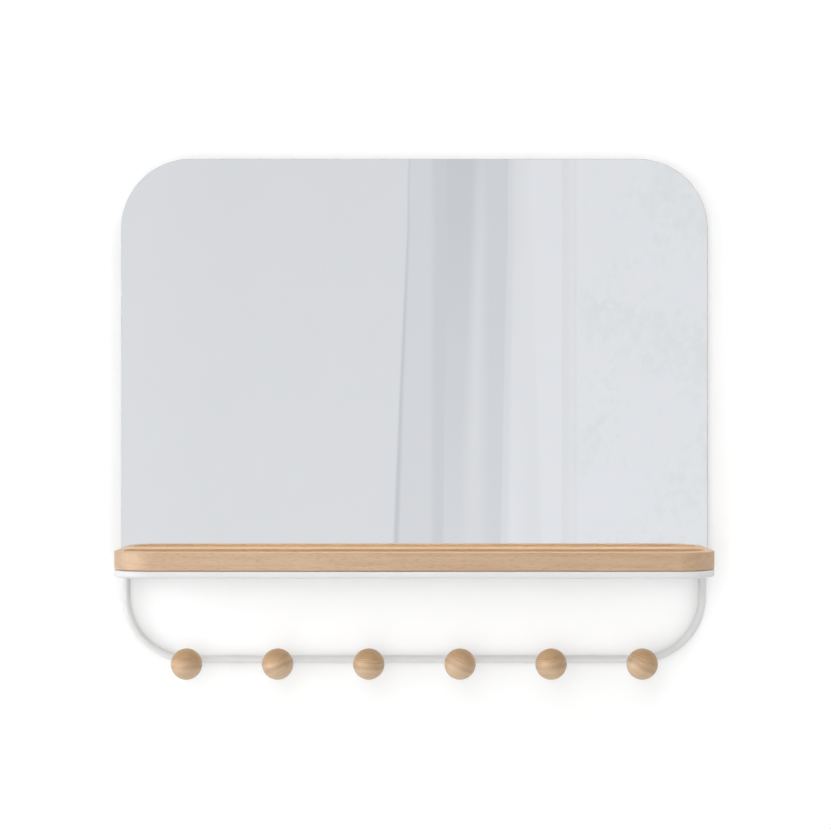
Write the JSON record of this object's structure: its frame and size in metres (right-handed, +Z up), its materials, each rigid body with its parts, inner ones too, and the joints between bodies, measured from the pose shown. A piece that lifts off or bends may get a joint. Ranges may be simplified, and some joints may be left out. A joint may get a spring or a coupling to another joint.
{
  "type": "wall mirror with shelf and hooks",
  "caption": "Wall mirror with large round top corners, a routed wooden shelf tray across its foot and a white bent-rod rail of wooden ball hooks below.",
  "frame": {"origin": "midway between the two keyhole entries, in the wall plane", "axes": "+X to the right seen from the front, +Y into the wall, +Z up"},
  "size_m": [0.61, 0.104, 0.537],
  "materials": {
    "mirror": "polished silvered glass",
    "white_paint": "smooth satin powder coat",
    "tray_wood": "pale beech under a matt clear lacquer",
    "ball_wood": "turned pale hardwood under a matt clear lacquer",
    "fibreboard": "raw medium-density fibreboard",
    "zinc": "zinc-plated steel",
    "pad_rubber": "soft pale grey rubber"
  },
  "bodies": {
    "root": {"mirror_glass": "mirror", "backing_board": "fibreboard", "frame_rod": "white_paint", "frame_tabs": "white_paint", "tab_screws": "zinc", "keyhole_plate_left": "zinc", "keyhole_plate_right": "zinc", "keyhole_screws": "zinc", "shelf_pan": "white_paint", "pan_screws": "zinc", "shelf_tray": "tray_wood", "tray_screws": "zinc", "hook_stud_1": "white_paint", "hook_stud_2": "white_paint", "hook_stud_3": "white_paint", "hook_stud_4": "white_paint", "hook_stud_5": "white_paint", "hook_stud_6": "white_paint", "hook_ball_1": "ball_wood", "hook_ball_2": "ball_wood", "hook_ball_3": "ball_wood", "hook_ball_4": "ball_wood", "hook_ball_5": "ball_wood", "hook_ball_6": "ball_wood", "wall_bumper_1": "pad_rubber", "wall_bumper_2": "pad_rubber", "wall_bumper_3": "pad_rubber", "wall_bumper_4": "pad_rubber", "rail_bumper_left": "pad_rubber", "rail_bumper_right": "pad_rubber"}
  },
  "joints": []
}
